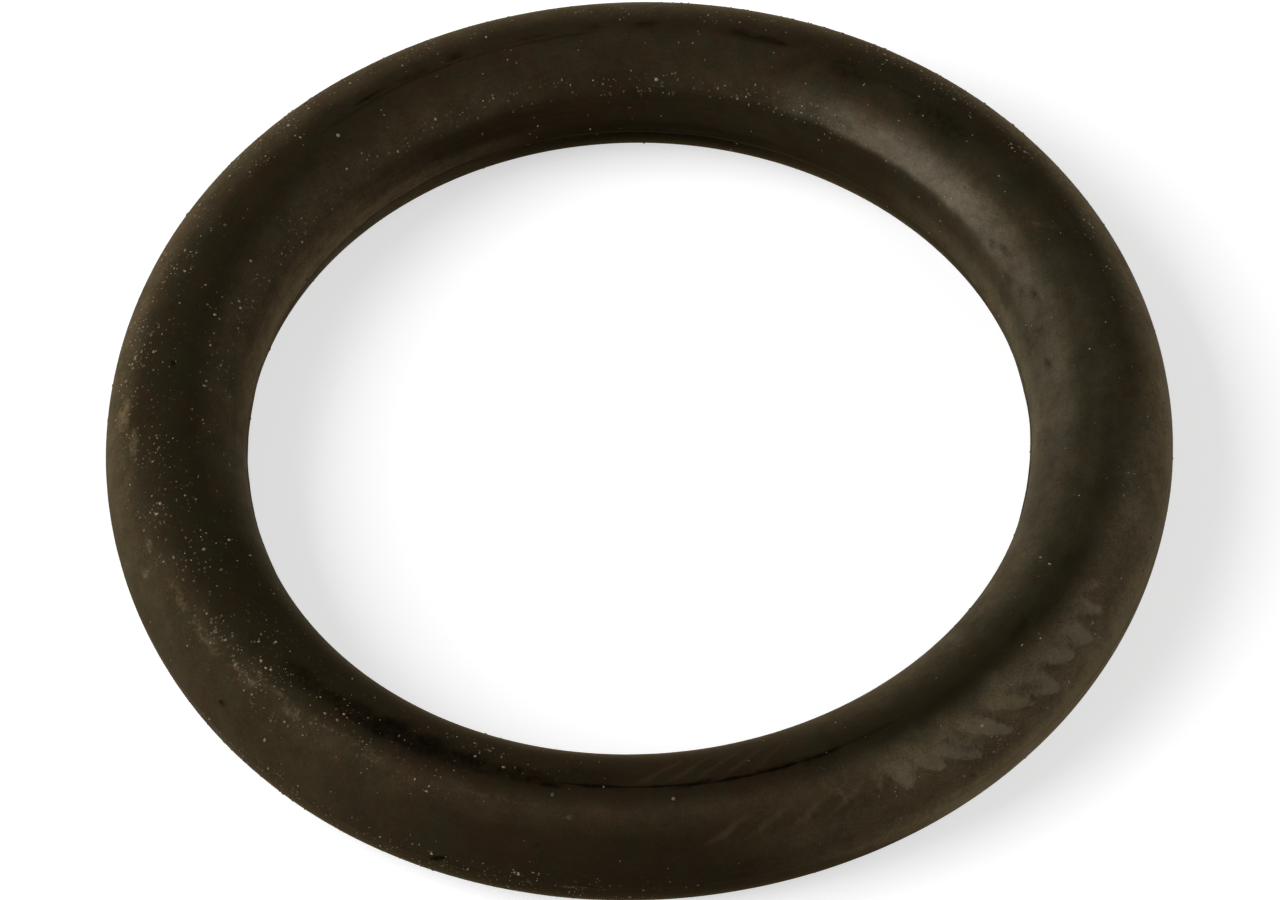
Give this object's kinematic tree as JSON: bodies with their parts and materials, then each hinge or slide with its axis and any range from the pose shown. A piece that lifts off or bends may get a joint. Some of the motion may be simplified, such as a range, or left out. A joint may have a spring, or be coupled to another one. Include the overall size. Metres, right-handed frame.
{
  "type": "rubber o-ring",
  "caption": "Round-section rubber sealing ring with a fine moulding flash round its inner and outer edges, for a groove on a shaft or in a bore.",
  "frame": {"origin": "centre of the ring, on its axis and halfway through its thickness", "axes": "+Z along the axis of the ring, which lies flat in X and Y and is the same all the way round"},
  "size_m": [0.026, 0.026, 0.0034],
  "materials": {
    "rubber": "satin moulded rubber, very dark brown-black, with a faint pale bloom and dust specks"
  },
  "bodies": {
    "root": {"o_ring": "rubber"}
  },
  "joints": []
}
